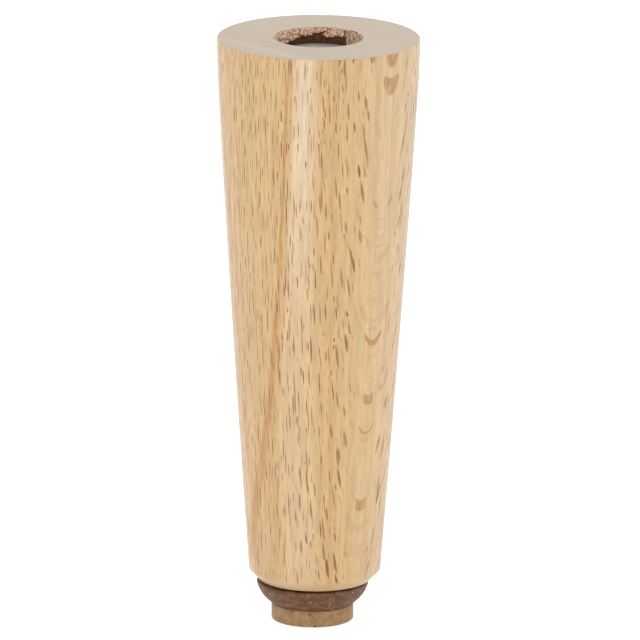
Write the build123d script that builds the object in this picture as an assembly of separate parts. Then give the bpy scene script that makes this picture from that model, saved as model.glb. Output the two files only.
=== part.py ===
"""Tapered furniture leg, turned from one piece of beech.

A threaded insert sits in a round recess in its top, and a nail-on felt glide is driven into its foot.
Sizes are in millimetres. The origin is on the floor under the leg's axis, and +Z points up the leg.
"""

from build123d import *
from math import cos, radians, sin, sqrt
import os

# Turned wooden leg
leg_length = 139.5
top_radius = 25.45
shoulder_radius = 24.86
shoulder_drop = 15.0
foot_radius = 16.45
top_rim_chamfer = 0.3
foot_chamfer_height = 2.6
foot_chamfer_width = 2.5

# Round recess in the top face, and the bore below it
recess_radius = 11.0
recess_depth = 5.3
recess_rim_chamfer = 0.25
bore_spare_depth = 6.0
drill_point_angle = 118.0

# Threaded insert, cast in zinc alloy, with a hexagon socket above an M8 hole
collar_radius = 10.0
collar_thickness = 1.5
collar_chamfer = 0.3
insert_body_length = 20.0
insert_core_radius = 5.5
insert_tip_chamfer = 0.8
wood_thread_height = 1.5
wood_thread_pitch = 5.0
wood_thread_root_width = 1.8
wood_thread_start_gap = 2.6
wood_thread_end_gap = 2.4
wood_thread_root_sink = 0.25
insert_clearance = 0.04
hex_across_flats = 8.0
hex_depth = 6.0
hex_lead_in = 0.4
m8_core_radius = 3.4

# Nail-on glide: plastic cup, steel nail and felt pad
glide_shift_x = -0.5
seat_boss_radius = 11.2
seat_boss_height = 0.6
cup_height = 5.7
cup_rim_radius = 14.15
cup_foot_radius = 10.0
cup_side_bulge = 0.8
cup_side_stretches = 3
cup_rim_chamfer = 0.3
felt_recess_radius = 9.3
felt_recess_depth = 2.5
nail_shank_radius = 1.15
nail_head_radius = 3.6
nail_head_thickness = 1.1
nail_length = 19.0
nail_tip_length = 3.0
nail_clearance = 0.02
felt_radius = 10.3
felt_stand = 4.2
felt_foot_chamfer = 0.35
felt_shoulder_chamfer = 0.35
felt_clearance = 0.03

# Heights above the floor, worked out from the sizes above
cup_foot_z = felt_stand
cup_rim_z = cup_foot_z + cup_height
leg_foot_z = cup_rim_z + seat_boss_height
leg_top_z = leg_foot_z + leg_length
recess_floor_z = leg_top_z - recess_depth
insert_foot_z = recess_floor_z - insert_body_length
nail_head_foot_z = cup_foot_z + felt_recess_depth
nail_head_top_z = nail_head_foot_z + nail_head_thickness
nail_tip_z = nail_head_foot_z + nail_length


def turned(outline):
    """Revolves a closed half outline, drawn as radius and height, about the leg's axis."""
    return revolve(Plane.XZ * outline, axis=Axis.Z)


def shifted(piece):
    """Moves a piece of the glide from the leg's axis to where the glide was driven in."""
    return Pos(glide_shift_x, 0, 0) * piece


def corner(outline, radius, height):
    """Gives the corner of a half outline that lies at that radius and height."""
    return outline.vertices().sort_by_distance((radius, height, 0))[0]


def insert_thread(grown=0.0):
    """Coarse thread that cuts into the wood: one ridge wound round the insert's core."""
    first_z = insert_foot_z + wood_thread_end_gap
    last_z = recess_floor_z - wood_thread_start_gap
    root = insert_core_radius - wood_thread_root_sink
    crest = insert_core_radius + wood_thread_height + grown
    half_root = wood_thread_root_width / 2 + grown
    ridge = make_face(Polyline((root, -half_root), (crest, 0), (root, half_root), close=True))
    path = Helix(wood_thread_pitch, last_z - first_z, insert_core_radius)
    return Pos(0, 0, first_z) * sweep(Plane.XZ * ridge, path=path, is_frenet=True)


def turned_side():
    """Outline of the bare turning: a taper, steeper above its shoulder, with a chamfer at the foot."""
    side_foot_z = leg_foot_z + foot_chamfer_height
    shoulder_z = leg_top_z - shoulder_drop
    outline = make_face(
        Polyline(
            (0, leg_foot_z),
            (foot_radius - foot_chamfer_width, leg_foot_z),
            (foot_radius, side_foot_z),
            (shoulder_radius, shoulder_z),
            (top_radius, leg_top_z),
            (0, leg_top_z),
            close=True,
        )
    )
    return chamfer(corner(outline, top_radius, leg_top_z), top_rim_chamfer)


def leg_body():
    """The wood: the turning with its recess, the bore for the insert and the nail's hole."""
    bore_radius = insert_core_radius + insert_clearance
    bore_floor_z = insert_foot_z - bore_spare_depth
    point_height = bore_radius / sin(radians(drill_point_angle / 2)) * cos(radians(drill_point_angle / 2))
    rim_z = leg_top_z - recess_rim_chamfer
    hollow = Polyline(
        (0, bore_floor_z - point_height),
        (bore_radius, bore_floor_z),
        (bore_radius, recess_floor_z),
        (recess_radius, recess_floor_z),
        (recess_radius, rim_z),
        (recess_radius + recess_rim_chamfer, leg_top_z),
        (0, leg_top_z),
        close=True,
    )
    wood = turned(turned_side()) - turned(make_face(hollow)) - insert_thread(insert_clearance)
    return wood - shifted(nail_shank(nail_clearance))


def insert_nut():
    """Threaded insert: collar, core with its coarse thread, hexagon socket and M8 hole."""
    collar_top_z = recess_floor_z + collar_thickness
    outline = make_face(
        Polyline(
            (0, insert_foot_z),
            (insert_core_radius - insert_tip_chamfer, insert_foot_z),
            (insert_core_radius, insert_foot_z + insert_tip_chamfer),
            (insert_core_radius, recess_floor_z),
            (collar_radius, recess_floor_z),
            (collar_radius, collar_top_z),
            (0, collar_top_z),
            close=True,
        )
    )
    outline = chamfer(corner(outline, collar_radius, collar_top_z), collar_chamfer)
    socket_floor_z = collar_top_z - hex_depth
    socket = Pos(0, 0, socket_floor_z) * extrude(
        RegularPolygon(hex_across_flats / 2, 6, major_radius=False), hex_depth
    )
    corner_radius = hex_across_flats / sqrt(3)
    lead_in = turned(
        make_face(
            Polyline(
                (0, collar_top_z - hex_lead_in),
                (corner_radius, collar_top_z - hex_lead_in),
                (corner_radius + hex_lead_in, collar_top_z),
                (0, collar_top_z),
                close=True,
            )
        )
    )
    hole_length = socket_floor_z - insert_foot_z
    hole = Pos(0, 0, insert_foot_z) * Cylinder(
        m8_core_radius, hole_length, align=(Align.CENTER, Align.CENTER, Align.MIN)
    )
    return turned(outline) + insert_thread() - socket - lead_in - hole


def glide_cup():
    """Plastic cup: a bowl that narrows downwards, with a boss on top that seats on the wood."""
    flare = cup_rim_radius - cup_foot_radius
    chord_length = sqrt(flare**2 + cup_height**2)
    bowl = []
    for stretch in range(cup_side_stretches + 1):
        share = stretch / cup_side_stretches
        bulge = 4 * cup_side_bulge * share * (1 - share) / chord_length
        bowl_radius = cup_foot_radius + flare * share + bulge * cup_height
        bowl_z = cup_foot_z + cup_height * share - bulge * flare
        bowl.append((bowl_radius, bowl_z))
    shank_radius = nail_shank_radius + nail_clearance
    head_radius = nail_head_radius + nail_clearance
    outline = make_face(
        Polyline(
            *bowl,
            (seat_boss_radius, cup_rim_z),
            (seat_boss_radius, leg_foot_z),
            (shank_radius, leg_foot_z),
            (shank_radius, nail_head_top_z),
            (head_radius, nail_head_top_z),
            (head_radius, nail_head_foot_z),
            (felt_recess_radius, nail_head_foot_z),
            (felt_recess_radius, cup_foot_z),
            close=True,
        )
    )
    outline = chamfer(corner(outline, cup_rim_radius, cup_rim_z), cup_rim_chamfer)
    return shifted(turned(outline))


def nail_shank(grown=0.0):
    """The pointed wire of the nail, from its head to its tip."""
    radius = nail_shank_radius + grown
    return turned(
        make_face(
            Polyline(
                (0, nail_head_top_z),
                (radius, nail_head_top_z),
                (radius, nail_tip_z - nail_tip_length),
                (0, nail_tip_z + grown),
                close=True,
            )
        )
    )


def glide_nail():
    """Steel nail: a flat head held in the cup, and the pointed wire."""
    head = Cylinder(nail_head_radius, nail_head_thickness, align=(Align.CENTER, Align.CENTER, Align.MIN))
    return shifted(Pos(0, 0, nail_head_foot_z) * head + nail_shank())


def felt_pad():
    """Felt pad: a plug pressed into the cup, swelling out below the cup's lip to the floor."""
    plug_radius = felt_recess_radius - felt_clearance
    outline = make_face(
        Polyline(
            (0, 0),
            (felt_radius, 0),
            (felt_radius, cup_foot_z),
            (plug_radius, cup_foot_z),
            (plug_radius, nail_head_foot_z),
            (0, nail_head_foot_z),
            close=True,
        )
    )
    outline = chamfer(corner(outline, felt_radius, 0), felt_foot_chamfer)
    outline = chamfer(corner(outline, felt_radius, cup_foot_z), felt_shoulder_chamfer)
    return shifted(turned(outline))


pieces = {
    "leg_body": leg_body(),
    "insert_nut": insert_nut(),
    "glide_cup": glide_cup(),
    "glide_nail": glide_nail(),
    "felt_pad": felt_pad(),
}

os.makedirs("parts", exist_ok=True)
for name, piece in pieces.items():
    export_step(piece, f"parts/{name}.step")
    print(name, "volume", round(piece.volume, 1), "solids", len(piece.solids()))
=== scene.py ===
import math

import bmesh
import bpy
from mathutils import Matrix, Vector, noise


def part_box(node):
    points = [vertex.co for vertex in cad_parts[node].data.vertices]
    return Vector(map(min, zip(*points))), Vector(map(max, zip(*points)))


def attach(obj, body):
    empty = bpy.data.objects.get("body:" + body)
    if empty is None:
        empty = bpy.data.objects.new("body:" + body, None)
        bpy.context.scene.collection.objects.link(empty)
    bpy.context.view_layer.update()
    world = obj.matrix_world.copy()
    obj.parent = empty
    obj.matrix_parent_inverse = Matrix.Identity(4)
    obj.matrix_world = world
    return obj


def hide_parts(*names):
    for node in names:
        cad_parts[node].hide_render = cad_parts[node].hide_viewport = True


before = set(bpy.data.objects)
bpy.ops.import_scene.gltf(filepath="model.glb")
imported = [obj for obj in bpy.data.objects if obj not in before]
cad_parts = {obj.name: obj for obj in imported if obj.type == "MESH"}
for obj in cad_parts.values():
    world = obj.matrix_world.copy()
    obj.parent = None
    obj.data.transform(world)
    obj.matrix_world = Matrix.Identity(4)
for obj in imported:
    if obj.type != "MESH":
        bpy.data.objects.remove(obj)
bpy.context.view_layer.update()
MM = 0.001


# The beech leg. It is one solid blank of steamed beech, turned to a slightly swelling taper and sanded.
# Its foot has a chamfer, and its top a round recess that the drill left torn and ragged inside.
leg_low, leg_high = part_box("leg_body")
LEG_TOP = leg_high.z
LEG_FOOT = leg_low.z
TOP_RADIUS = leg_high.x
FOOT_RADIUS = 16.55 * MM
SIDE_SWELL = 0.26 * MM
TOP_STRETCH = 20 * MM
TOP_LEAN_IN = 0.39 * MM
CHAMFER_HEIGHT = 2.6 * MM
CHAMFER_WIDTH = 2.5 * MM
FOOT_FACE_ROUND = 0.25 * MM
FOOT_EDGE_ROUND = 0.9 * MM
RIM_ROUND = 0.4 * MM
RECESS_RADIUS = 11 * MM
RECESS_DEPTH = 5.3 * MM
RECESS_RIM_ROUND = 0.2 * MM
BORE_RADIUS = 5.54 * MM
BORE_DEPTH = 26 * MM
BORE_POINT = 3.3 * MM
LEG_SEGMENTS = 512
SIDE_STEPS = 32
TOP_RINGS = 16
WALL_STEPS = 40
WELD_REACH = 1e-7


def new_piece(name, shape, materials, smooth_angle=40):
    """Turns a bmesh into an object with its materials, smooth except over sharp edges."""
    mesh = bpy.data.meshes.new(name)
    shape.to_mesh(mesh)
    shape.free()
    piece = bpy.data.objects.new(name, mesh)
    bpy.context.scene.collection.objects.link(piece)
    for material in materials:
        mesh.materials.append(material)
    mesh.shade_smooth()
    mesh.set_sharp_from_angle(angle=math.radians(smooth_angle))
    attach(piece, "root")
    return piece


def rounded(before, corner, after, radius, steps=6):
    """Points of the arc that rounds one corner of an outline."""
    here = Vector(corner)
    back = (Vector(before) - here).normalized()
    on = (Vector(after) - here).normalized()
    half = back.angle(on) / 2
    middle = here + (back + on).normalized() * (radius / math.sin(half))
    start = here + back * (radius / math.tan(half)) - middle
    end = here + on * (radius / math.tan(half)) - middle
    return [
        tuple(middle + start.lerp(end, step / steps).normalized() * radius)
        for step in range(steps + 1)
    ]


def spun(outline, segments, centre=(0, 0, 0)):
    """Spins an outline, given as radius and height, round a vertical axis through the centre."""
    shape = bmesh.new()
    points = [shape.verts.new((centre[0] + r, centre[1], z)) for r, z in outline]
    edges = [shape.edges.new(pair) for pair in zip(points, points[1:])]
    bmesh.ops.spin(
        shape, geom=points + edges, cent=centre, axis=(0, 0, 1),
        angle=math.tau, steps=segments, use_merge=True,
    )
    bmesh.ops.remove_doubles(shape, verts=shape.verts, dist=WELD_REACH)
    bmesh.ops.recalc_face_normals(shape, faces=shape.faces)
    return shape


def side_radius(height):
    """Radius of the leg's side at a height: a taper with a slight swell, which steepens near the top."""
    side_foot = LEG_FOOT + CHAMFER_HEIGHT
    share = (height - side_foot) / (LEG_TOP - side_foot)
    taper = FOOT_RADIUS + (TOP_RADIUS + TOP_LEAN_IN - FOOT_RADIUS) * share
    upper = max(0.0, 1 - (LEG_TOP - height) / TOP_STRETCH)
    return taper + 4 * SIDE_SWELL * share * (1 - share) - TOP_LEAN_IN * upper**2


def leg_outline():
    """Half section of the leg, from its foot round the outside to the bottom of the bore."""
    side_foot = LEG_FOOT + CHAMFER_HEIGHT
    face_corner = (FOOT_RADIUS - CHAMFER_WIDTH, LEG_FOOT)
    foot_corner = (FOOT_RADIUS, side_foot)
    rim_corner = (TOP_RADIUS, LEG_TOP)
    side = []
    for step in range(1, SIDE_STEPS):
        height = side_foot + (LEG_TOP - side_foot) * step / SIDE_STEPS
        side.append((side_radius(height), height))
    outline = [(0, LEG_FOOT)]
    outline += rounded((0, LEG_FOOT), face_corner, foot_corner, FOOT_FACE_ROUND, 3)
    outline += rounded(face_corner, foot_corner, side[0], FOOT_EDGE_ROUND)
    outline += side
    outline += rounded(side[-1], rim_corner, (0, LEG_TOP), RIM_ROUND)
    mouth = RECESS_RADIUS + RECESS_RIM_ROUND
    for step in range(TOP_RINGS - 1, -1, -1):
        outline.append((mouth + (TOP_RADIUS - RIM_ROUND - mouth) * (step / TOP_RINGS) ** 2, LEG_TOP))
    wall_top = LEG_TOP - RECESS_RIM_ROUND
    floor = LEG_TOP - RECESS_DEPTH
    for step in range(WALL_STEPS + 1):
        outline.append((RECESS_RADIUS, wall_top + (floor - wall_top) * step / WALL_STEPS))
    outline.append((BORE_RADIUS, floor))
    outline.append((BORE_RADIUS, floor - BORE_DEPTH))
    outline.append((0, floor - BORE_DEPTH - BORE_POINT))
    return outline


leg_shape = spun(leg_outline(), LEG_SEGMENTS)
wall_faces = {
    face for face in leg_shape.faces
    if face.calc_center_median().xy.length < RECESS_RADIUS + RECESS_RIM_ROUND
    and LEG_TOP > face.calc_center_median().z > LEG_FOOT + BORE_POINT
}

# The tear in the recess is a ragged skin of fibres in two flaps, given by the angle round the recess
# in degrees, from the back towards the right, and the depth below the top face in millimetres.
LEFT_FLAP_EDGE = (
    (-180, 2.2), (-120, 2.8), (-90, 3.4), (-60, 3.3), (-44, 2.9), (-20, 2.0), (0, 1.5), (12, 0.6), (18, 0.0),
)
RIGHT_FLAP_TOP = ((3, 2.3), (9, 1.2), (16, 0.0), (38, 0.0))
RIGHT_FLAP_EDGE = 2.2
RIGHT_FLAP_FROM = 3
CLEAN_FROM = 38
CLEAN_TO = 112
# A dark line of painted shade runs down the crease at this angle round the recess.
SHADED_CREASE_AT = 37
FLAP_BULGE = 0.8 * MM
CHIP_DEPTH = 0.8 * MM
CHIP_SPREAD = 1.0 * MM
CHIP_REACH = 1.3 * MM
CLEAN_WALL_TONE = 0.5
TEAR_ABOVE_FLOOR = 0.02 * MM
TEAR_REACH = 1.4 * MM
# How fine the waves of the tear and its chips are. Those of the hairs are given across and down.
COARSE_WAVES = 0.5
LUMP_WAVES = 1.1
HAIR_WAVES = (4.0, 1.3)
CHIP_WAVES = 0.75
NIBBLE_WAVES = 1.9


def eased(value, low, high):
    """Rises smoothly from 0 to 1 between two values."""
    share = min(max((value - low) / (high - low), 0.0), 1.0)
    return share * share * (3 - 2 * share)


def read_off(points, place):
    """Reads a value off a line through points."""
    for (low, first), (high, last) in zip(points, points[1:]):
        if place <= high:
            return first + (last - first) * (place - low) / (high - low)
    return points[-1][1]


def tear_recess(shape):
    """Roughens the wall of the recess where the drill tore the grain, chips its far edge, and marks where
    the wall is painted dark as shade.
    """
    torn_and_shade_mark = shape.verts.layers.float.new("torn")
    chip_mark = shape.verts.layers.float.new("chipped")
    wall = RECESS_RADIUS / MM
    across, down = HAIR_WAVES
    for vert in shape.verts:
        x, y, z = vert.co
        reach = math.hypot(x, y)
        depth = (LEG_TOP - z) / MM
        above_floor = z >= LEG_TOP - RECESS_DEPTH + TEAR_ABOVE_FLOOR
        if not (above_floor and BORE_RADIUS <= reach <= RECESS_RADIUS + TEAR_REACH):
            continue
        around = math.degrees(math.atan2(x, y))
        outward = Vector((x / reach, y / reach, 0))
        place = Vector((x / reach * wall, y / reach * wall, depth))
        coarse = noise.noise(place * COARSE_WAVES + Vector((3, 0, 0)))
        lumps = noise.fractal(place * LUMP_WAVES, 0.9, 2.1, 4)
        hairs = noise.noise(Vector((place.x * across, place.y * across, place.z * down)))
        clean = eased(around, CLEAN_FROM - 1, CLEAN_FROM + 1) * (1 - eased(around, CLEAN_TO, CLEAN_TO + 20))
        if depth < 0.02:
            back = 1 - eased(abs(around + 10), 70, 110)
            wave = noise.noise(place * CHIP_WAVES) + 0.1 + 0.45 * noise.noise(place * NIBBLE_WAVES)
            bite = max(0.0, wave) * back * (1 - 0.9 * clean)
            near = 1 - eased(reach, RECESS_RADIUS + RECESS_RIM_ROUND, RECESS_RADIUS + CHIP_REACH)
            vert.co += outward * bite * CHIP_SPREAD * near
            vert.co.z -= bite * CHIP_DEPTH * near
            vert[torn_and_shade_mark] = 1.0 if bite > 0 else 0.0
            vert[chip_mark] = min(1.0, 6 * bite * near)
            continue
        left_edge = read_off(LEFT_FLAP_EDGE, around) + 0.35 * coarse + 0.2 * lumps
        flap = 1 - eased(depth, left_edge - 0.15, left_edge + 0.15)
        if around > RIGHT_FLAP_FROM:
            flap_top = read_off(RIGHT_FLAP_TOP, around) + 0.3 * coarse + 0.15 * lumps
            flap_edge = RIGHT_FLAP_EDGE + 0.4 * coarse + 0.2 * lumps
            right_flap = eased(depth, flap_top - 0.15, flap_top + 0.15)
            right_flap *= 1 - eased(depth, flap_edge - 0.12, flap_edge + 0.12)
            flap = max(flap if around < 20 else 0.0, right_flap)
        flap *= 1 - clean
        swell = 0.25 + 0.75 * eased(depth, 0.0, 1.6)
        bulge = flap * swell * (0.75 + 0.35 * coarse + 0.6 * lumps + 0.2 * hairs)
        rough = 0.03 * lumps + 0.02 * hairs
        vert.co -= outward * (FLAP_BULGE * bulge + 0.5 * MM * rough * (1 - 0.6 * clean))
        # Painted shade: a dark line down the crease beside the right flap.
        crease_shade = 1 - eased(abs(around - SHADED_CREASE_AT + 1.5 * coarse), 0.6, 1.8)
        # The mark is full on the flaps, partial on the clean wall, and low under the flaps, where the
        # material paints the wall dark brown as shade.
        vert[torn_and_shade_mark] = max(flap, CLEAN_WALL_TONE * clean) * (1 - 0.7 * crease_shade)
    bmesh.ops.recalc_face_normals(shape, faces=shape.faces)


tear_recess(leg_shape)


def add(tree, kind, inputs=(), **settings):
    """Adds a shader node, sets its properties, and gives its inputs values or links."""
    node = tree.nodes.new(kind)
    for name, value in settings.items():
        setattr(node, name, value)
    for name, value in dict(inputs).items():
        if isinstance(value, bpy.types.NodeSocket):
            tree.links.new(value, node.inputs[name])
        else:
            node.inputs[name].default_value = value
    return node


def math_node(tree, operation, first, second=0.0, third=0.0, clamp=False):
    """One arithmetic step on single values."""
    inputs = {0: first, 1: second, 2: third}
    return add(tree, "ShaderNodeMath", inputs, operation=operation, use_clamp=clamp).outputs[0]


def mixed(tree, factor, first, second, blend="MIX"):
    """Mixes two colours by a factor."""
    colours = [part if isinstance(part, bpy.types.NodeSocket) else (*part, 1.0) for part in (first, second)]
    inputs = {0: factor, 6: colours[0], 7: colours[1]}
    return add(tree, "ShaderNodeMix", inputs, data_type="RGBA", blend_type=blend).outputs[2]


def ranged(tree, value, low, high, to_low=0.0, to_high=1.0):
    """Maps a value smoothly from one range to another, and holds it at the ends."""
    inputs = {"Value": value, "From Min": low, "From Max": high, "To Min": to_low, "To Max": to_high}
    return add(tree, "ShaderNodeMapRange", inputs, interpolation_type="SMOOTHSTEP").outputs["Result"]


def scaled(tree, vector, scale, shift=(0, 0, 0)):
    """Scales and shifts a place."""
    return add(tree, "ShaderNodeMapping", {"Vector": vector, "Scale": scale, "Location": shift}).outputs[0]


def waves(tree, vector, detail=2.0, roughness=0.5):
    """Soft noise over a scaled place."""
    inputs = {"Vector": vector, "Scale": 1.0, "Detail": detail, "Roughness": roughness}
    return add(tree, "ShaderNodeTexNoise", inputs).outputs["Fac"]


def srgb(red, green, blue):
    """Turns a display colour with parts of 255 into the linear colour that a shader takes."""
    def linear(part):
        part /= 255
        return part / 12.92 if part <= 0.04045 else ((part + 0.055) / 1.055) ** 2.4
    return linear(red), linear(green), linear(blue)


def group_tree(name, outputs):
    """Starts a shader node group with named outputs that are single values."""
    tree = bpy.data.node_groups.new(name, "ShaderNodeTree")
    for socket in outputs:
        tree.interface.new_socket(name=socket, in_out="OUTPUT", socket_type="NodeSocketFloat")
    return tree, tree.nodes.new("NodeGroupOutput")


# The figure of the wood is set in the tree's own directions. The rays run from the pith outwards to the
# left front, so they show end-on there as dashes, and lengthwise as hearts and hoops on the right front.
RAY_FACE_AZIMUTH = 42.5
RAY_TWIST = 0.065
RAY_TWIST_HEIGHT = 87
RING_AZIMUTH = 43
RING_LEAN = 0.045
RING_BOW = 0.0002
RING_LEAN_HEIGHT = 75
RING_WANDER = 1.6
# Growth rings in the blank: each one's distance outwards from the leg's axis in millimetres, and how dark
# it is. Behind those that the front shows, one ring repeats. The palest ring fades out downwards.
BLANK_REACH = 27.0
BACK_RINGS = 4
BACK_RING_WIDTH = 5.6
BACK_RING_SHADES = ((0.0, 0.28), (0.5, 0.38), (0.9, 0.5))
FRONT_RINGS = (
    (2.2, 0.38), (4.4, 0.43), (7.0, 0.6), (7.7, 0.45), (10.6, 0.6), (11.5, 0.75), (12.4, 0.55), (13.9, 0.6),
    (14.9, 0.45), (15.9, 0.22), (16.8, 0.0), (18.2, 0.05), (18.9, 0.22), (19.3, 0.55), (19.75, 0.68),
    (20.3, 0.5),
)
PALE_RING_FADE = 0.35
PALE_RING_HEIGHTS = (80.0, 138.0)
# How fine the waves of each noise are: along the rings, outwards and up the trunk.
WANDER_WAVES = (0.1, 0.06, 0.02)
FIBRE_WAVES = (3.4, 3.4, 0.18)
CLOUD_WAVES = (0.12, 0.12, 0.04)
STREAK_WAVES = (0.9, 0.9, 0.03)
HEART_STRIPE_WAVES = (3.2, 3.2, 0.3)
# A thin gum streak climbs the left front: two lines, each given by its place at the floor and its lean.
# It is widest at the lower of two heights and narrowest at the upper, and ends just under the top face.
GUM_LINES = ((-13.46, 0.0415), (-18.4, 0.113))
GUM_WAVES = 60
GUM_WANDER = 1.2
GUM_HEIGHTS = (20.0, 110.0)
GUM_HALF_WIDTHS = (1.6, 0.55)
GUM_SHADE = 0.56
GUM_FRONT = (-6.0, -3.0)
GUM_END = (149.2, 149.7)
# Each of these rays lies just under the right front: the height where the taper's side closes it into
# a hoop, half its thickness, the heights of its foot and head, and how far it reaches to each side.
HEART_RAYS = (
    (146.3, 0.08, 146.3, 152.0, 3.2), (139.5, 0.085, 138.6, 144.0, 3.3), (108.9, 0.04, 110.8, 114.6, 3.4),
    (74.6, 0.05, 74.6, 78.4, 3.1), (59.2, 0.085, 59.2, 63.0, 1.8), (51.4, 0.028, 51.8, 56.2, 2.8),
    (31.4, 0.1, 31.2, 36.0, 1.7),
)
# Each is drawn a little taller and thicker than that, with blunt tips and soft edges.
HEART_STRETCH = 0.62
HEART_SWELL = 1.15
HEART_BLUNTNESS = 6.0
HEART_SOFTNESS = 0.02
HEART_SIDE_SOFTNESS = 0.5
# The faint hoops are given by the height that closes each. They are rays of one size: half thickness,
# height and reach. A ray thinner than a full mark is fainter in proportion.
FAINT_HOOPS = (107.2, 104.9, 102.6, 100.2, 95.9, 93.3, 88.4, 86.1, 81.0, 78.6, 71.6, 66.4, 64.9, 53.4)
FAINT_HOOP_RAY = (0.013, 2.6, 1.8)
FULL_MARK = 0.03
# Rays that the side cuts end-on, in three sizes: the cell that holds one ray, the layer's seed, the least
# and most half thickness and half height, and the softness of the edge.
FINE_RAYS = ((0.9, 11.0, 4.6), 21.0, (0.02, 0.05), (0.9, 2.3), 0.03)
SMALL_RAYS = ((1.4, 16.0, 7.2), 3.0, (0.05, 0.13), (1.3, 3.4), 0.03)
LARGE_RAYS = ((2.4, 24.0, 8.4), 11.0, (0.08, 0.17), (1.5, 3.7), 0.04)
RAY_STRENGTHS = (0.62, 1.0)
FINE_RAY_STRENGTH = 0.6
# Where the rays run along the surface, most of the end-on marks are lost. They are half as strong in the
# pale band, and faint on the chamfer at the foot, which faces down and is darkened with painted shade.
LENGTHWISE_FROM = (0.955, 0.992)
SMALL_RAYS_LOST = 0.75
LARGE_RAYS_LOST = 0.85
PALE_BAND_SHADE = 0.2
PALE_BAND_RAYS = 0.5
FOOT_RAY_HEIGHTS = (12.6, 13.8)
FOOT_RAYS_LEFT = 0.15
CHAMFER_PAINTED_SHADE_HEIGHTS = (12.0, 13.2)
CHAMFER_PAINTED_SHADE = 0.6


def in_tree(tree, azimuth):
    """Place in the tree in millimetres: X along the rings, Y from the pith outwards, Z up the trunk."""
    coords = add(tree, "ShaderNodeTexCoord").outputs["Object"]
    turn = math.radians(-90 - azimuth)
    inputs = {"Vector": coords, "Rotation": (0, 0, turn), "Scale": (1 / MM, 1 / MM, 1 / MM)}
    return add(tree, "ShaderNodeMapping", inputs).outputs[0]


def ray_layer(tree, place, cell, seed, half_width, half_height, softness):
    """Spindle-shaped wood rays, one in each cell: thin across, a few millimetres tall, long outwards."""
    celled = scaled(tree, place, tuple(1 / size for size in cell), (seed, seed * 0.37, seed * 0.71))
    cells = add(tree, "ShaderNodeTexVoronoi", {"Vector": celled, "Scale": 1.0, "Randomness": 1.0})
    offset = add(
        tree, "ShaderNodeVectorMath", {0: celled, 1: cells.outputs["Position"]}, operation="SUBTRACT"
    ).outputs[0]
    offset = add(tree, "ShaderNodeSeparateXYZ", {"Vector": offset})
    luck = add(tree, "ShaderNodeSeparateColor", {"Color": cells.outputs["Color"]})
    wide = ranged(tree, luck.outputs["Red"], 0.0, 1.0, *half_width)
    tall = ranged(tree, luck.outputs["Green"], 0.0, 1.0, *half_height)
    across = math_node(tree, "ABSOLUTE", math_node(tree, "MULTIPLY", offset.outputs["X"], cell[0]))
    up = math_node(tree, "DIVIDE", math_node(tree, "MULTIPLY", offset.outputs["Z"], cell[2]), tall)
    room = math_node(tree, "SUBTRACT", 1.0, math_node(tree, "MULTIPLY", up, up))
    edge = math_node(tree, "SUBTRACT", math_node(tree, "MULTIPLY", wide, room), across)
    mask = ranged(tree, edge, -softness, softness)
    strength = ranged(tree, luck.outputs["Blue"], 0.0, 1.0, *RAY_STRENGTHS)
    return math_node(tree, "MULTIPLY", mask, strength)


def heart_rays(tree, parts):
    """The single rays that the turned side cuts lengthwise, each as a heart or a hoop."""
    total = 0.0
    aside = math_node(tree, "ABSOLUTE", parts.outputs["Y"])
    thin, tall, narrow = FAINT_HOOP_RAY
    hoops = tuple((closing, thin, closing, closing + tall, narrow) for closing in FAINT_HOOPS)
    for closing, half_thickness, foot, head, side_reach in HEART_RAYS + hoops:
        under = side_radius(closing * MM) / MM + half_thickness
        half_height = (head - foot) * HEART_STRETCH
        up = math_node(tree, "SUBTRACT", parts.outputs["Z"], (head + foot) / 2)
        up = math_node(tree, "ABSOLUTE", math_node(tree, "DIVIDE", up, half_height))
        room = math_node(tree, "SUBTRACT", 1.0, math_node(tree, "POWER", up, HEART_BLUNTNESS))
        across = math_node(tree, "ABSOLUTE", math_node(tree, "ADD", parts.outputs["X"], under))
        wide = math_node(tree, "MULTIPLY", room, half_thickness * HEART_SWELL)
        edge = math_node(tree, "SUBTRACT", wide, across)
        fullness = min(1.0, half_thickness / FULL_MARK)
        near = ranged(tree, aside, side_reach - HEART_SIDE_SOFTNESS, side_reach, fullness, 0.0)
        mark = math_node(tree, "MULTIPLY", ranged(tree, edge, -HEART_SOFTNESS, HEART_SOFTNESS), near)
        total = math_node(tree, "MAXIMUM", mark, total)
    return total


def gum_streak(tree):
    """A thin brown streak that runs up the left front, and leans a little to the right."""
    place = add(tree, "ShaderNodeTexCoord").outputs["Object"]
    slow = waves(tree, scaled(tree, place, (GUM_WAVES,) * 3), 1.0)
    parts = add(tree, "ShaderNodeSeparateXYZ", {"Vector": scaled(tree, place, (1 / MM,) * 3)})
    upper, lower = [
        math_node(tree, "MULTIPLY_ADD", parts.outputs["Z"], lean, foot) for foot, lean in GUM_LINES
    ]
    line = math_node(tree, "SMOOTH_MIN", upper, lower, 1.0)
    wander = math_node(tree, "MULTIPLY", math_node(tree, "SUBTRACT", slow, 0.5), GUM_WANDER)
    line = math_node(tree, "ADD", line, wander)
    away = math_node(tree, "ABSOLUTE", math_node(tree, "SUBTRACT", parts.outputs["X"], line))
    wide = ranged(tree, parts.outputs["Z"], *GUM_HEIGHTS, *GUM_HALF_WIDTHS)
    front = ranged(tree, parts.outputs["Y"], *GUM_FRONT, 1.0, 0.0)
    front = math_node(tree, "MULTIPLY", front, ranged(tree, parts.outputs["Z"], *GUM_END, 1.0, 0.0))
    share = math_node(tree, "DIVIDE", away, wide)
    return math_node(tree, "MULTIPLY", ranged(tree, share, 0.1, 1.0, 1.0, 0.0), front)


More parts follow.
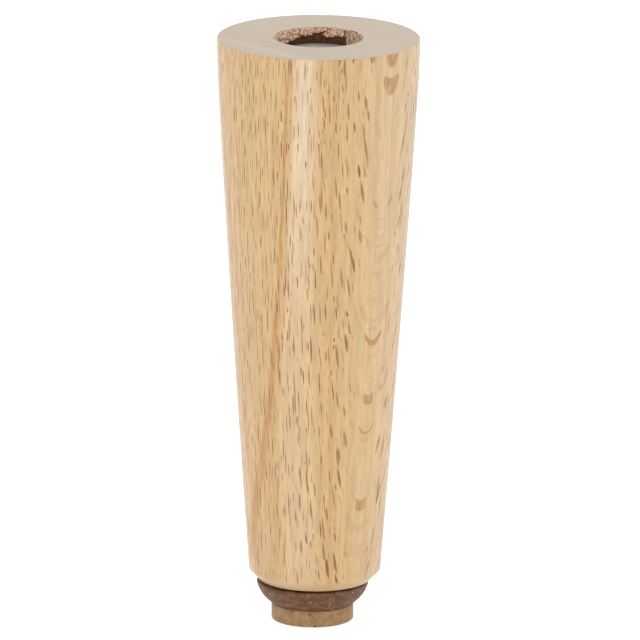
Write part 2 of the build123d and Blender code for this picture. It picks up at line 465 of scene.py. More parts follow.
def growth_rings(tree, parts):
    """Mask of the growth rings and the gum streak, the higher the darker."""
    height = math_node(tree, "SUBTRACT", parts.outputs["Z"], RING_LEAN_HEIGHT)
    lean = math_node(tree, "MULTIPLY", height, RING_LEAN)
    outwards = math_node(tree, "SUBTRACT", parts.outputs["Y"], lean)
    bow = math_node(tree, "MULTIPLY", math_node(tree, "MULTIPLY", height, height), RING_BOW)
    outwards = math_node(tree, "ADD", outwards, bow)
    rings = list(FRONT_RINGS)
    for ring in range(BACK_RINGS):
        inner = FRONT_RINGS[0][0] - (ring + 1) * BACK_RING_WIDTH
        rings = [(inner + share * BACK_RING_WIDTH, shade) for share, shade in BACK_RING_SHADES] + rings
    ramp = add(tree, "ShaderNodeValToRGB")
    elements = ramp.color_ramp.elements
    for element in elements:
        element.color = (0.5, 0.5, 0.5, 1)
    for depth, shade in rings:
        elements.new((depth + BLANK_REACH) / (2 * BLANK_REACH)).color = (shade, shade, shade, 1)
    share = math_node(tree, "DIVIDE", math_node(tree, "ADD", outwards, BLANK_REACH), 2 * BLANK_REACH)
    tree.links.new(share, ramp.inputs[0])
    fade = ranged(tree, parts.outputs["Z"], *PALE_RING_HEIGHTS, PALE_RING_FADE, 0.0)
    shade = math_node(tree, "MAXIMUM", ramp.outputs["Color"], fade)
    return math_node(tree, "MULTIPLY_ADD", gum_streak(tree), GUM_SHADE, shade)


def ray_marks(tree, shade):
    """Masks of the small rays, of the large rays and hearts, and of where the rays run lengthwise."""
    straight = in_tree(tree, RAY_FACE_AZIMUTH)
    straight_parts = add(tree, "ShaderNodeSeparateXYZ", {"Vector": straight})
    above = math_node(tree, "SUBTRACT", straight_parts.outputs["Z"], RAY_TWIST_HEIGHT)
    twist = math_node(tree, "MULTIPLY", above, -math.radians(RAY_TWIST))
    twisted = add(
        tree, "ShaderNodeVectorRotate", {"Vector": straight, "Angle": twist}, rotation_type="Z_AXIS"
    ).outputs[0]
    twisted_parts = add(tree, "ShaderNodeSeparateXYZ", {"Vector": twisted})
    aside = math_node(tree, "ABSOLUTE", twisted_parts.outputs["X"])
    flat = add(tree, "ShaderNodeVectorMath", {0: twisted, 1: (1, 1, 0)}, operation="MULTIPLY").outputs[0]
    reach = add(tree, "ShaderNodeVectorMath", {0: flat}, operation="LENGTH").outputs["Value"]
    lengthwise = ranged(tree, math_node(tree, "DIVIDE", aside, reach), *LENGTHWISE_FROM)
    above_foot = ranged(tree, twisted_parts.outputs["Z"], *FOOT_RAY_HEIGHTS, FOOT_RAYS_LEFT, 1.0)
    fine = ray_layer(tree, twisted, *FINE_RAYS)
    fine = math_node(tree, "MULTIPLY", fine, FINE_RAY_STRENGTH)
    small = ray_layer(tree, twisted, *SMALL_RAYS)
    small = math_node(tree, "MULTIPLY", math_node(tree, "MAXIMUM", fine, small), above_foot)
    kept = math_node(tree, "MULTIPLY_ADD", lengthwise, -SMALL_RAYS_LOST, 1.0)
    small = math_node(tree, "MULTIPLY", small, kept)
    kept = ranged(tree, shade, 0.0, PALE_BAND_SHADE, PALE_BAND_RAYS, 1.0)
    small = math_node(tree, "MULTIPLY", small, kept)
    large = ray_layer(tree, twisted, *LARGE_RAYS)
    kept = math_node(tree, "MULTIPLY_ADD", lengthwise, -LARGE_RAYS_LOST, 1.0)
    large = math_node(tree, "MULTIPLY", math_node(tree, "MULTIPLY", large, kept), above_foot)
    stripes = waves(tree, scaled(tree, twisted, HEART_STRIPE_WAVES), 1.0)
    hearts = heart_rays(tree, twisted_parts)
    hearts = math_node(tree, "MULTIPLY", hearts, ranged(tree, stripes, 0.3, 0.62, 0.45, 1.0))
    return small, math_node(tree, "MAXIMUM", large, hearts), lengthwise


def beech_figure():
    """Masks of the figure of beech: growth rings, fibres, streaks with painted shade on the chamfer, rays,
    and where the rays are cut lengthwise.
    """
    masks = ("Rings", "Fibres", "Streaks", "Clouds", "Rays", "Flecks", "Lengthwise")
    tree, out = group_tree("beech_figure", masks)
    place = in_tree(tree, RING_AZIMUTH)
    slow = add(tree, "ShaderNodeTexNoise", {"Vector": scaled(tree, place, WANDER_WAVES), "Scale": 1.0})
    wander = add(
        tree, "ShaderNodeVectorMath", {0: slow.outputs["Color"], 1: (0.5, 0.5, 0.5)}, operation="SUBTRACT"
    ).outputs[0]
    inputs = {0: wander, 1: (RING_WANDER, RING_WANDER, 0.0), 2: place}
    grown = add(tree, "ShaderNodeVectorMath", inputs, operation="MULTIPLY_ADD").outputs[0]
    parts = add(tree, "ShaderNodeSeparateXYZ", {"Vector": grown})
    shade = growth_rings(tree, parts)
    tree.links.new(shade, out.inputs["Rings"])
    tree.links.new(waves(tree, scaled(tree, grown, FIBRE_WAVES), 3.0), out.inputs["Fibres"])
    tree.links.new(waves(tree, scaled(tree, grown, CLOUD_WAVES)), out.inputs["Clouds"])
    streaks = waves(tree, scaled(tree, grown, STREAK_WAVES))
    # Painted shade: the streaks mask is lowered on the chamfer at the foot, which faces down.
    chamfer_painted_shade = ranged(tree, parts.outputs["Z"], *CHAMFER_PAINTED_SHADE_HEIGHTS, CHAMFER_PAINTED_SHADE, 1.0)
    tree.links.new(math_node(tree, "MULTIPLY", streaks, chamfer_painted_shade), out.inputs["Streaks"])
    rays, flecks, lengthwise = ray_marks(tree, shade)
    tree.links.new(rays, out.inputs["Rays"])
    tree.links.new(flecks, out.inputs["Flecks"])
    tree.links.new(lengthwise, out.inputs["Lengthwise"])
    return tree


figure = beech_figure()


def new_material(name):
    """Starts a material and returns it with its node tree and its shader."""
    material = bpy.data.materials.new(name)
    material.use_nodes = True
    tree = material.node_tree
    return material, tree, tree.nodes["Principled BSDF"]


def add_relief(tree, shader, height, strength, depth):
    """Gives a shader fine relief from a height that changes over the surface."""
    bump = add(tree, "ShaderNodeBump", {"Strength": strength, "Distance": depth, "Height": height})
    tree.links.new(bump.outputs["Normal"], shader.inputs["Normal"])


def beech_colour(tree, masks, pale, ground, dark, ray, fleck, ray_strength, tone_swing):
    """Colour of beech from the figure's masks and five colours."""
    rings = masks.outputs["Rings"]
    colour = mixed(tree, math_node(tree, "MULTIPLY", rings, 2.0, clamp=True), pale, ground)
    colour = mixed(tree, math_node(tree, "MULTIPLY_ADD", rings, 2.0, -1.0, clamp=True), colour, dark)
    colour = mixed(tree, ranged(tree, masks.outputs["Clouds"], 0.35, 0.65, 0.0, 0.2), colour, ground)
    # The streaks mask also carries the painted shade of the chamfer.
    streaks = ranged(tree, masks.outputs["Streaks"], 0.3, 0.72, 1 - 1.4 * tone_swing, 1 + tone_swing)
    fibres = ranged(tree, masks.outputs["Fibres"], 0.3, 0.7, 1 - tone_swing, 1 + 0.8 * tone_swing)
    tone = math_node(tree, "MULTIPLY", streaks, fibres)
    toned = add(tree, "ShaderNodeVectorMath", {0: colour, "Scale": tone}, operation="SCALE").outputs[0]
    ray_colour = mixed(tree, masks.outputs["Lengthwise"], ray, fleck)
    rays = math_node(tree, "MAXIMUM", masks.outputs["Rays"], masks.outputs["Flecks"])
    rays = math_node(tree, "MULTIPLY", rays, ray_strength)
    return mixed(tree, rays, toned, ray_colour), rays


def beech(name, colours, ray_strength, tone_swing, roughness, relief_depth):
    """Beech under its finish."""
    material, tree, shader = new_material(name)
    masks = add(tree, "ShaderNodeGroup", node_tree=figure)
    colour, rays = beech_colour(tree, masks, *colours, ray_strength, tone_swing)
    tree.links.new(colour, shader.inputs["Base Color"])
    rough = ranged(tree, masks.outputs["Fibres"], 0.3, 0.7, roughness - 0.05, roughness + 0.07)
    tree.links.new(rough, shader.inputs["Roughness"])
    relief = math_node(tree, "SUBTRACT", masks.outputs["Fibres"], math_node(tree, "MULTIPLY", rays, 1.2))
    add_relief(tree, shader, relief, strength=0.25, depth=relief_depth)
    return material, shader


# Colours of beech: a pale ring, the ground, a dark ring, and the rays cut end-on and lengthwise.
SIDE_COLOURS = (
    srgb(235, 210, 177), srgb(220, 182, 130), srgb(204, 154, 96), srgb(138, 76, 0), srgb(184, 130, 70),
)
END_COLOURS = (
    srgb(210, 195, 178), srgb(205, 189, 170), srgb(198, 181, 161), srgb(186, 166, 144), srgb(190, 170, 148),
)
TORN_FIBRE_COLOURS = (srgb(160, 112, 74), srgb(248, 216, 186))
TORN_GRIT_COLOUR = srgb(84, 50, 24)
# Painted shade: the deep wall of the recess under the flaps, in dark browns.
SHADED_WALL_COLOURS = (srgb(68, 40, 16), srgb(104, 70, 40))
TORN_HAIR_WAVES = (2000, 2000, 1300)
TORN_GRIT_WAVES = (5200, 5200, 5200)
CHIP_RAGGEDNESS = 1.6
beech_side, side_shader = beech(
    "beech_side", SIDE_COLOURS,
    ray_strength=0.92, tone_swing=0.065, roughness=0.48, relief_depth=0.03 * MM,
)
side_shader.inputs["Coat Weight"].default_value = 0.5
side_shader.inputs["Coat Roughness"].default_value = 0.25
beech_end, end_shader = beech(
    "beech_end_grain", END_COLOURS,
    ray_strength=0.25, tone_swing=0.015, roughness=0.7, relief_depth=0.008 * MM,
)


def torn_fibres(tree):
    """Colour of torn fibres, and the noise that shapes them."""
    place = add(tree, "ShaderNodeTexCoord").outputs["Object"]
    hairs = waves(tree, scaled(tree, place, TORN_HAIR_WAVES), 4.0, 0.65)
    grit = waves(tree, scaled(tree, place, TORN_GRIT_WAVES), 2.0, 0.7)
    fibre = mixed(tree, ranged(tree, hairs, 0.4, 0.58), *TORN_FIBRE_COLOURS)
    return mixed(tree, ranged(tree, grit, 0.6, 0.74), fibre, TORN_GRIT_COLOUR), hairs


def torn_beech():
    """Torn fibres where the mark is high, and painted shade, a dark brown wall, where it is low."""
    material, tree, shader = new_material("beech_torn")
    torn = add(tree, "ShaderNodeAttribute", attribute_name="torn").outputs["Fac"]
    fibre, hairs = torn_fibres(tree)
    # Painted shade for the deep wall, mixed in where the mark is low.
    shaded_wall = mixed(tree, ranged(tree, hairs, 0.35, 0.65), *SHADED_WALL_COLOURS)
    colour = mixed(tree, ranged(tree, torn, 0.2, 0.6), shaded_wall, fibre)
    tree.links.new(colour, shader.inputs["Base Color"])
    shader.inputs["Roughness"].default_value = 0.9
    add_relief(tree, shader, hairs, strength=0.6, depth=0.12 * MM)
    return material


# The chips at the mouth of the recess show torn fibres in the cut top face, with a ragged edge.
end_tree = beech_end.node_tree
chipped = add(end_tree, "ShaderNodeAttribute", attribute_name="chipped").outputs["Fac"]
fibre, hairs = torn_fibres(end_tree)
hairs = math_node(end_tree, "SUBTRACT", hairs, 0.5)
chipped = math_node(end_tree, "MULTIPLY_ADD", hairs, CHIP_RAGGEDNESS, chipped)
cut_face = end_shader.inputs["Base Color"].links[0].from_socket
end_colour = mixed(end_tree, ranged(end_tree, chipped, 0.4, 0.6), cut_face, fibre)
end_tree.links.new(end_colour, end_shader.inputs["Base Color"])

SIDE_WOOD, END_GRAIN, TORN_WOOD = range(3)
for face in leg_shape.faces:
    middle = face.calc_center_median()
    reach = math.hypot(middle.x, middle.y)
    mouth = reach < RECESS_RADIUS + CHIP_REACH and middle.z > LEG_TOP - CHIP_DEPTH
    if face in wall_faces:
        face.material_index = TORN_WOOD
    elif mouth or abs(face.normal.z) > 0.9:
        face.material_index = END_GRAIN
    else:
        face.material_index = SIDE_WOOD
leg = new_piece("turned_leg", leg_shape, [beech_side, beech_end, torn_beech()])
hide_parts("leg_body")


# The insert. It is die-cast zinc alloy, screwed into the wood until its collar sits on the recess floor.
# A hexagon socket in its top drives it, and the fine thread below takes the furniture's bolt.
insert_low, insert_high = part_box("insert_nut")
COLLAR_TOP = insert_high.z
INSERT_FOOT = insert_low.z
COLLAR_RADIUS = insert_high.x
COLLAR_THICKNESS = 1.5 * MM
COLLAR_ROUND = 0.3 * MM
CORE_RADIUS = 5.5 * MM
TIP_CHAMFER = 0.8 * MM
KEY_FLATS = 8 * MM
KEY_DEPTH = 6 * MM
KEY_LEAD_IN = 0.35 * MM
KEY_SIDES = 6
FIRST_CORNER_MARGIN = 0.01
COLLAR_INNER_RING = 5.8 * MM
INSERT_SEGMENTS = 96
WOOD_THREAD_PITCH = 5 * MM
WOOD_THREAD_HEIGHT = 1.5 * MM
WOOD_THREAD_ROOT = 1.8 * MM
WOOD_THREAD_HALF_CREST = 0.05 * MM
WOOD_THREAD_GAPS = (2.4 * MM, 2.6 * MM)
BOLT_THREAD_PITCH = 1.25 * MM
BOLT_THREAD_HALF_ROOT = BOLT_THREAD_PITCH * 0.48
BOLT_THREAD_HALF_CREST = BOLT_THREAD_PITCH * 0.1
BOLT_THREAD_GAP = BOLT_THREAD_PITCH * 0.6
BOLT_THREAD_OUTER = 3.98 * MM
BOLT_THREAD_INNER = 3.4 * MM
THREAD_SINK = 0.25 * MM
THREAD_STEPS = 48
ZINC_COLOURS = (srgb(206, 203, 200), srgb(184, 181, 178))
METAL_STAIN_WAVES = (260, 260, 260)
METAL_SKIN_WAVES = (2400, 2400, 2400)


def add_thread(shape, root, crest, half_root, half_crest, pitch, start, end):
    """Winds one thread ridge, as a closed solid, between two heights."""
    corners = ((root, -half_root), (crest, -half_crest), (crest, half_crest), (root, half_root))
    ridge = [shape.verts.new((r, 0, start + z)) for r, z in corners]
    face = shape.faces.new(ridge)
    turns = (end - start) / pitch
    steps = round(turns * THREAD_STEPS)
    bmesh.ops.spin(
        shape, geom=[face, *face.edges, *face.verts], cent=(0, 0, 0), axis=(0, 0, 1),
        angle=math.tau * turns, steps=steps, dvec=(0, 0, (end - start) / steps),
    )


def hexagon_ring(shape, flats, height):
    """Corners round a level hexagon of that size across its flats, with flats at the front and back."""
    tips = [
        Vector((math.cos(math.tau * side / KEY_SIDES), math.sin(math.tau * side / KEY_SIDES), 0))
        for side in range(KEY_SIDES + 1)
    ]
    steps = INSERT_SEGMENTS // KEY_SIDES
    lift = Vector((0, 0, height))
    return [
        shape.verts.new(tip.lerp(on, step / steps) * (flats / math.sqrt(3)) + lift)
        for tip, on in zip(tips, tips[1:])
        for step in range(steps)
    ]


def turn_from_right(vert):
    """Angle of a corner round the axis, from just before the right, so that rings start at like corners."""
    return (math.atan2(vert.co.y, vert.co.x) + FIRST_CORNER_MARGIN) % math.tau


def join_rings(shape, *rings):
    """Fills the band between two rings of corners round the axis, corner by corner."""
    outer, inner = [sorted(ring, key=turn_from_right) for ring in rings]
    for step in range(len(inner)):
        shape.faces.new((inner[step - 1], inner[step], outer[step], outer[step - 1]))


collar_foot = COLLAR_TOP - COLLAR_THICKNESS
collar_corner = (COLLAR_RADIUS, COLLAR_TOP)
socket_floor = COLLAR_TOP - KEY_DEPTH
insert_outline = [
    (BOLT_THREAD_OUTER, socket_floor), (BOLT_THREAD_OUTER, INSERT_FOOT),
    (CORE_RADIUS - TIP_CHAMFER, INSERT_FOOT), (CORE_RADIUS, INSERT_FOOT + TIP_CHAMFER),
    (CORE_RADIUS, collar_foot), (COLLAR_RADIUS, collar_foot),
]
insert_outline += rounded((COLLAR_RADIUS, collar_foot), collar_corner, (0, COLLAR_TOP), COLLAR_ROUND)
insert_outline += [(COLLAR_INNER_RING, COLLAR_TOP)]
insert_shape = spun(insert_outline, INSERT_SEGMENTS)
open_verts = [vert for vert in insert_shape.verts if vert.is_boundary]
collar_ring = [vert for vert in open_verts if vert.co.z > COLLAR_TOP - MM]
floor_ring = [vert for vert in open_verts if vert.co.z < COLLAR_TOP - MM]
socket_rings = [
    collar_ring,
    hexagon_ring(insert_shape, KEY_FLATS + 2 * KEY_LEAD_IN, COLLAR_TOP),
    hexagon_ring(insert_shape, KEY_FLATS, COLLAR_TOP - KEY_LEAD_IN),
    hexagon_ring(insert_shape, KEY_FLATS, socket_floor),
    floor_ring,
]
for outer, inner in zip(socket_rings, socket_rings[1:]):
    join_rings(insert_shape, outer, inner)
bmesh.ops.recalc_face_normals(insert_shape, faces=insert_shape.faces)
add_thread(
    insert_shape, root=CORE_RADIUS - THREAD_SINK, crest=CORE_RADIUS + WOOD_THREAD_HEIGHT,
    half_root=WOOD_THREAD_ROOT / 2, half_crest=WOOD_THREAD_HALF_CREST, pitch=WOOD_THREAD_PITCH,
    start=INSERT_FOOT + WOOD_THREAD_GAPS[0], end=collar_foot - WOOD_THREAD_GAPS[1],
)
add_thread(
    insert_shape, root=BOLT_THREAD_OUTER + THREAD_SINK, crest=BOLT_THREAD_INNER,
    half_root=BOLT_THREAD_HALF_ROOT, half_crest=BOLT_THREAD_HALF_CREST, pitch=BOLT_THREAD_PITCH,
    start=INSERT_FOOT + BOLT_THREAD_GAP, end=socket_floor - BOLT_THREAD_GAP,
)
bmesh.ops.recalc_face_normals(insert_shape, faces=insert_shape.faces)


def metal(name, ground, stain, roughness):
    """Dull bare metal with a cast or drawn skin, faint stains and fine pits."""
    material, tree, shader = new_material(name)
    place = add(tree, "ShaderNodeTexCoord").outputs["Object"]
    stains = waves(tree, scaled(tree, place, METAL_STAIN_WAVES), 3.0)
    skin = waves(tree, scaled(tree, place, METAL_SKIN_WAVES), 3.0, 0.65)
    colour = mixed(tree, ranged(tree, stains, 0.4, 0.7), ground, stain)
    tree.links.new(colour, shader.inputs["Base Color"])
    shader.inputs["Metallic"].default_value = 1.0
    rough = ranged(tree, skin, 0.3, 0.7, roughness - 0.08, roughness + 0.1)
    tree.links.new(rough, shader.inputs["Roughness"])
    add_relief(tree, shader, skin, strength=0.5, depth=0.03 * MM)
    return material


zinc = metal("zinc_alloy", *ZINC_COLOURS, roughness=0.55)
insert = new_piece("threaded_insert", insert_shape, [zinc], smooth_angle=30)
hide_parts("insert_nut")


# The glide's cup. It is moulded in dark brown plastic with a rounded rim, and nailed up through its middle,
# half a millimetre off the leg's centre. A thin boss on its top keeps the rim off the wood.
cup_low, cup_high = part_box("glide_cup")
GLIDE_CENTRE = ((cup_low.x + cup_high.x) / 2, 0, 0)
CUP_FOOT = cup_low.z
BOSS_TOP = cup_high.z
BOSS_RADIUS = 11.2 * MM
BOSS_HEIGHT = 0.6 * MM
CUP_RIM_RADIUS = 14.15 * MM
CUP_FOOT_RADIUS = 10 * MM
CUP_BULGE = 0.8 * MM
CUP_RIM_ROUND = 0.35 * MM
CUP_LIP_ROUND = 0.2 * MM
CUP_RECESS_RADIUS = 9.3 * MM
CUP_RECESS_DEPTH = 2.5 * MM
NAIL_HEAD_RADIUS = 3.62 * MM
NAIL_HEAD_THICKNESS = 1.1 * MM
NAIL_SHANK_RADIUS = 1.17 * MM
CUP_STEPS = 14
GLIDE_SEGMENTS = 256
# The outside is slightly uneven: how far it wanders, how fine its waves are, and their seed.
UNEVEN_MARGIN = 0.1 * MM
CUP_UNEVENNESS = (0.05 * MM, 260, 2)
CUP_PATCH_COLOURS = (srgb(90, 54, 33), srgb(124, 84, 55))
CUP_SKIN_COLOUR = srgb(152, 110, 76)
CUP_SPECK_COLOUR = srgb(206, 174, 142)
CUP_PATCH_WAVES = (420, 420, 700)
CUP_SKIN_WAVES = (2600, 2600, 2600)
# Pale specks in two sizes: the cell that may hold one, the layer's seed, the share of cells that hold one,
# and the least and most radius.
CUP_SPECKS = (0.95 * MM, 5.0, 0.62, (0.12 * MM, 0.27 * MM))
CUP_GRAINS = (0.45 * MM, 9.0, 0.5, (0.06 * MM, 0.12 * MM))
GRAIN_STRENGTH = 0.6
SPECK_BEND = 0.35
SPECK_BEND_WAVES = 4.0


def cup_outline():
    """Closed half section of the cup, from the lip round the bowl and the boss to the felt's recess."""
    rim = BOSS_TOP - BOSS_HEIGHT
    flare = CUP_RIM_RADIUS - CUP_FOOT_RADIUS
    height = rim - CUP_FOOT
    chord = math.hypot(flare, height)
    bowl = []
    for step in range(CUP_STEPS + 1):
        share = step / CUP_STEPS
        bulge = 4 * CUP_BULGE * share * (1 - share) / chord
        bowl_radius = CUP_FOOT_RADIUS + flare * share + bulge * height
        bowl.append((bowl_radius, CUP_FOOT + height * share - bulge * flare))
    recess_top = CUP_FOOT + CUP_RECESS_DEPTH
    head_top = recess_top + NAIL_HEAD_THICKNESS
    outline = rounded((CUP_RECESS_RADIUS, CUP_FOOT), bowl[0], bowl[1], CUP_LIP_ROUND, 3)
    outline += bowl[1:-1]
    outline += rounded(bowl[-2], bowl[-1], (0, rim), CUP_RIM_ROUND)
    outline += [(BOSS_RADIUS, rim), (BOSS_RADIUS, BOSS_TOP), (NAIL_SHANK_RADIUS, BOSS_TOP)]
    outline += [(NAIL_SHANK_RADIUS, head_top), (NAIL_HEAD_RADIUS, head_top), (NAIL_HEAD_RADIUS, recess_top)]
    outline += [(CUP_RECESS_RADIUS, recess_top), (CUP_RECESS_RADIUS, CUP_FOOT), outline[0]]
    return outline


def make_uneven(shape, centre, from_radius, amount, fineness, seed):
    """Moves the outside of a turned shape in and out a little, as moulding or handling leaves it."""
    for vert in shape.verts:
        out = Vector((vert.co.x - centre[0], vert.co.y, 0))
        if out.length > from_radius:
            place = vert.co * fineness + Vector((seed, 0, 0))
            vert.co += out.normalized() * (amount * noise.fractal(place, 0.9, 2.0, 3))


def speckle_layer(tree, place, cell, seed, share_filled, radius):
    """Small uneven specks, one in some of the cells."""
    celled = scaled(tree, place, (1 / cell,) * 3, (seed, seed * 0.31, seed * 0.67))
    bent = add(tree, "ShaderNodeTexNoise", {"Vector": celled, "Scale": SPECK_BEND_WAVES, "Detail": 1.0})
    inputs = {0: bent.outputs["Color"], 1: (SPECK_BEND,) * 3, 2: celled}
    celled = add(tree, "ShaderNodeVectorMath", inputs, operation="MULTIPLY_ADD").outputs[0]
    cells = add(tree, "ShaderNodeTexVoronoi", {"Vector": celled, "Scale": 1.0, "Randomness": 1.0})
    luck = add(tree, "ShaderNodeSeparateColor", {"Color": cells.outputs["Color"]})
    size = ranged(tree, luck.outputs["Green"], 0.0, 1.0, radius[0] / cell, radius[1] / cell)
    near = math_node(tree, "SUBTRACT", size, cells.outputs["Distance"])
    filled = math_node(tree, "LESS_THAN", luck.outputs["Red"], share_filled)
    return math_node(tree, "MULTIPLY", ranged(tree, near, -0.04, 0.04), filled)


cup_shape = spun(cup_outline(), GLIDE_SEGMENTS, GLIDE_CENTRE)
make_uneven(cup_shape, GLIDE_CENTRE, BOSS_RADIUS + UNEVEN_MARGIN, *CUP_UNEVENNESS)


def brown_plastic():
    """Dull brown plastic: darker and lighter patches, a lighter skin in places, and pale specks."""
    material, tree, shader = new_material("brown_plastic")
    place = add(tree, "ShaderNodeTexCoord").outputs["Object"]
    patches = waves(tree, scaled(tree, place, CUP_PATCH_WAVES), 3.0, 0.6)
    skin = waves(tree, scaled(tree, place, CUP_SKIN_WAVES), 2.0, 0.6)
    colour = mixed(tree, ranged(tree, patches, 0.34, 0.66), *CUP_PATCH_COLOURS)
    colour = mixed(tree, ranged(tree, skin, 0.54, 0.7, 0.0, 0.5), colour, CUP_SKIN_COLOUR)
    specks = speckle_layer(tree, place, *CUP_SPECKS)
    speckled = ranged(tree, patches, 0.42, 0.58, 0.2, 1.0)
    grains = speckle_layer(tree, place, *CUP_GRAINS)
    specks = math_node(tree, "MAXIMUM", specks, math_node(tree, "MULTIPLY", grains, GRAIN_STRENGTH))
    specks = math_node(tree, "MULTIPLY", specks, speckled)
    colour = mixed(tree, specks, colour, CUP_SPECK_COLOUR)
    tree.links.new(colour, shader.inputs["Base Color"])
    rough = ranged(tree, patches, 0.3, 0.7, 0.4, 0.62)
    tree.links.new(rough, shader.inputs["Roughness"])
    shader.inputs["Specular IOR Level"].default_value = 0.42
    height = math_node(tree, "ADD", skin, specks)
    add_relief(tree, shader, height, strength=0.5, depth=0.05 * MM)
    return material


cup = new_piece("moulded_cup", cup_shape, [brown_plastic()], smooth_angle=35)
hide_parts("glide_cup")


# The nail. It is a wire nail of bright steel with a flat head, driven up through the cup's middle into the
# foot, and it holds the cup by its head. The felt pad hides it, so its mesh stays plain.
STEEL_COLOURS = (srgb(176, 174, 170), srgb(150, 146, 140))
steel = metal("nail_steel", *STEEL_COLOURS, roughness=0.35)
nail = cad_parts["glide_nail"]
nail.data.materials.clear()
nail.data.materials.append(steel)


# The felt pad. It is a plug of pressed brown needle felt, pushed into the cup, and it stands on the floor.
# Its cut side is slightly uneven, with fine fibres in all directions and a few dark specks.
felt_low, felt_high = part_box("felt_pad")
FELT_RADIUS = (felt_high.x - felt_low.x) / 2
FELT_FOOT_ROUND = 0.4 * MM
FELT_SHOULDER_ROUND = 0.4 * MM
FELT_CLEARANCE = 0.03 * MM
FELT_PLUG_RADIUS = CUP_RECESS_RADIUS - FELT_CLEARANCE
FELT_STEPS = 12
FELT_UNEVENNESS = (0.07 * MM, 420, 9)
FELT_TUFT_COLOURS = (srgb(150, 114, 74), srgb(176, 139, 98))
FELT_FIBRE_COLOUR = srgb(188, 152, 108)
FELT_SPECK_COLOUR = srgb(78, 50, 26)
FELT_TUFT_WAVES = (520, 520, 520)
UPRIGHT_FIBRE_WAVES = (3600, 3600, 1600)
LEVEL_FIBRE_WAVES = (1100, 1100, 4800)
# Dark specks, given as those of the cup are.
FELT_SPECKS = (1.5 * MM, 8.0, 0.6, (0.16 * MM, 0.38 * MM))
felt_shoulder = (FELT_RADIUS, CUP_FOOT)
felt_foot = (FELT_RADIUS, felt_low.z)
felt_outline = [(0, felt_low.z), (FELT_RADIUS * 0.5, felt_low.z)]
felt_outline += rounded((0, felt_low.z), felt_foot, felt_shoulder, FELT_FOOT_ROUND)
low, high = felt_low.z + FELT_FOOT_ROUND, CUP_FOOT - FELT_SHOULDER_ROUND
for step in range(1, FELT_STEPS):
    felt_outline.append((FELT_RADIUS, low + (high - low) * (step / FELT_STEPS)))
felt_outline += rounded(felt_foot, felt_shoulder, (FELT_PLUG_RADIUS, CUP_FOOT), FELT_SHOULDER_ROUND)
felt_outline += [(FELT_PLUG_RADIUS, CUP_FOOT), (FELT_PLUG_RADIUS, felt_high.z), (0, felt_high.z)]
felt_shape = spun(felt_outline, GLIDE_SEGMENTS, GLIDE_CENTRE)
make_uneven(felt_shape, GLIDE_CENTRE, FELT_PLUG_RADIUS + UNEVEN_MARGIN, *FELT_UNEVENNESS)


def tan_felt():
    """Pressed needle felt: soft tufts, fibres that lie upright and level, and dark specks."""
    material, tree, shader = new_material("tan_felt")
    place = add(tree, "ShaderNodeTexCoord").outputs["Object"]
    tufts = waves(tree, scaled(tree, place, FELT_TUFT_WAVES), 3.0, 0.6)
    upright = waves(tree, scaled(tree, place, UPRIGHT_FIBRE_WAVES), 2.0)
    level = waves(tree, scaled(tree, place, LEVEL_FIBRE_WAVES), 2.0)
    fibres = math_node(tree, "MULTIPLY", math_node(tree, "ADD", upright, level), 0.5)
    colour = mixed(tree, ranged(tree, tufts, 0.34, 0.68), *FELT_TUFT_COLOURS)
    colour = mixed(tree, ranged(tree, fibres, 0.4, 0.6, 0.0, 0.5), colour, FELT_FIBRE_COLOUR)
    specks = speckle_layer(tree, place, *FELT_SPECKS)
    specks = math_node(tree, "MULTIPLY", specks, ranged(tree, tufts, 0.42, 0.56, 0.55, 1.0))
    colour = mixed(tree, specks, colour, FELT_SPECK_COLOUR)
    tree.links.new(colour, shader.inputs["Base Color"])
    shader.inputs["Roughness"].default_value = 0.95
    shader.inputs["Sheen Weight"].default_value = 0.25
    add_relief(tree, shader, fibres, strength=0.6, depth=0.08 * MM)
    return material


pad = new_piece("felt_plug", felt_shape, [tan_felt()], smooth_angle=60)
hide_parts("felt_pad")


# The studio. A white floor and white surroundings light the leg softly from all sides,
# with a large soft light in front of it. The camera sees both as plain white.
FLOOR_SIZE = 4.0
FLOOR_GAP = 0.02 * MM
FLOOR_SEEN = 0.62
FLOOR_BOUNCE = 0.3
FLOOR_WHITE = 0.8
BACKDROP_LIGHT = 1.15
FRONT_LIGHT = 0.6
LIGHT_PLACE = (-0.1, -1.5, 0.8)
LIGHT_AIM = (0, 0, 0.08)
LIGHT_SIZE = 1.0
LIGHT_POWER = 6
bpy.ops.mesh.primitive_plane_add(size=FLOOR_SIZE, location=(0, 0, -FLOOR_GAP))
floor = bpy.context.object
floor.name = "studio_floor"
white, white_tree, white_shader = new_material("studio_white")
white_shader.inputs["Base Color"].default_value = (FLOOR_WHITE, FLOOR_WHITE, FLOOR_WHITE, 1)
white_shader.inputs["Roughness"].default_value = 1.0
white_shader.inputs["Specular IOR Level"].default_value = 0.0
white_shader.inputs["Emission Color"].default_value = (1, 1, 1, 1)
seen_floor = add(white_tree, "ShaderNodeLightPath").outputs["Is Camera Ray"]
floor_glow = add(white_tree, "ShaderNodeMix", {0: seen_floor, 2: FLOOR_BOUNCE, 3: FLOOR_SEEN}).outputs[0]
white_tree.links.new(floor_glow, white_shader.inputs["Emission Strength"])
floor.data.materials.append(white)

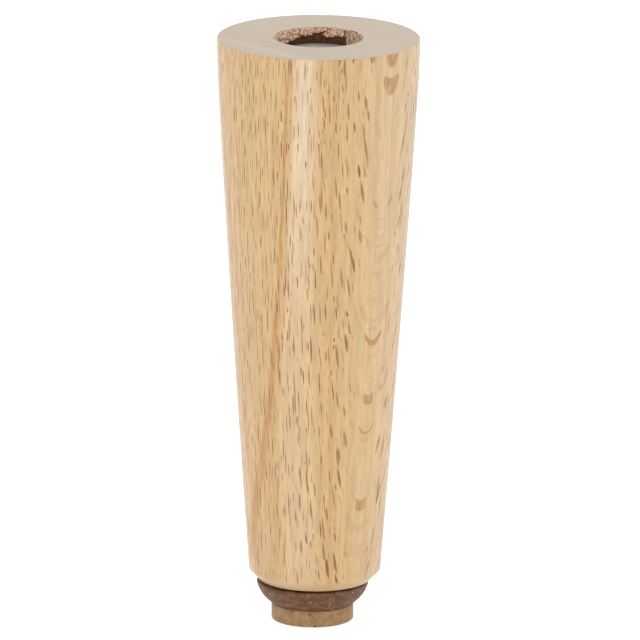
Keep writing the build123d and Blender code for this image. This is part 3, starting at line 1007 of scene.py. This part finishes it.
world = bpy.data.worlds.new("studio_light")
bpy.context.scene.world = world
world.use_nodes = True
sky = world.node_tree
backdrop = sky.nodes["Background"]
backdrop.inputs["Color"].default_value = (1, 1, 1, 1)
towards = add(sky, "ShaderNodeSeparateXYZ", {"Vector": add(sky, "ShaderNodeTexCoord").outputs["Generated"]})
ambient = ranged(sky, towards.outputs["Y"], -0.6, 0.6, FRONT_LIGHT, BACKDROP_LIGHT)
seen = add(sky, "ShaderNodeLightPath").outputs["Is Camera Ray"]
strength = add(sky, "ShaderNodeMix", {0: seen, 2: ambient, 3: 1.0})
sky.links.new(strength.outputs[0], backdrop.inputs["Strength"])


def soft_light(name, place, aim, size, power):
    """A square soft light that points at a spot."""
    light = bpy.data.lights.new(name, "AREA")
    light.shape = "SQUARE"
    light.size = size
    light.energy = power
    holder = bpy.data.objects.new(name, light)
    holder.location = place
    holder.rotation_euler = (Vector(aim) - Vector(place)).to_track_quat("-Z", "Y").to_euler()
    bpy.context.scene.collection.objects.link(holder)


soft_light("front_light", LIGHT_PLACE, LIGHT_AIM, LIGHT_SIZE, LIGHT_POWER)


# The camera. It stands far off with a long lens, looks down on the leg by 14 degrees, and is tipped a
# little to one side. It aims at the leg's middle, moved a little to the right and up.
CAMERA_DISTANCE = 3.5
CAMERA_ELEVATION = math.radians(14.2)
CAMERA_ROLL = math.radians(0.43)
CAMERA_LENS = 785.0
CAMERA_SENSOR = 36
CAMERA_REACH = 20
AIM_RIGHT = 0.88 * MM
AIM_UP = 2.16 * MM
camera_data = bpy.data.cameras.new("camera")
camera_data.lens = CAMERA_LENS
camera_data.sensor_width = CAMERA_SENSOR
camera_data.clip_end = CAMERA_REACH
camera = bpy.data.objects.new("camera", camera_data)
bpy.context.scene.collection.objects.link(camera)
bpy.context.scene.camera = camera
view_up = Vector((0, math.sin(CAMERA_ELEVATION), math.cos(CAMERA_ELEVATION)))
view_back = Vector((0, -math.cos(CAMERA_ELEVATION), math.sin(CAMERA_ELEVATION)))
middle = Vector((AIM_RIGHT, 0, LEG_TOP / 2)) + AIM_UP * view_up
camera.matrix_world = (
    Matrix.Translation(middle + CAMERA_DISTANCE * view_back)
    @ Matrix.Rotation(math.pi / 2 - CAMERA_ELEVATION, 4, "X")
    @ Matrix.Rotation(CAMERA_ROLL, 4, "Z")
)
bpy.context.scene.view_settings.view_transform = "Standard"
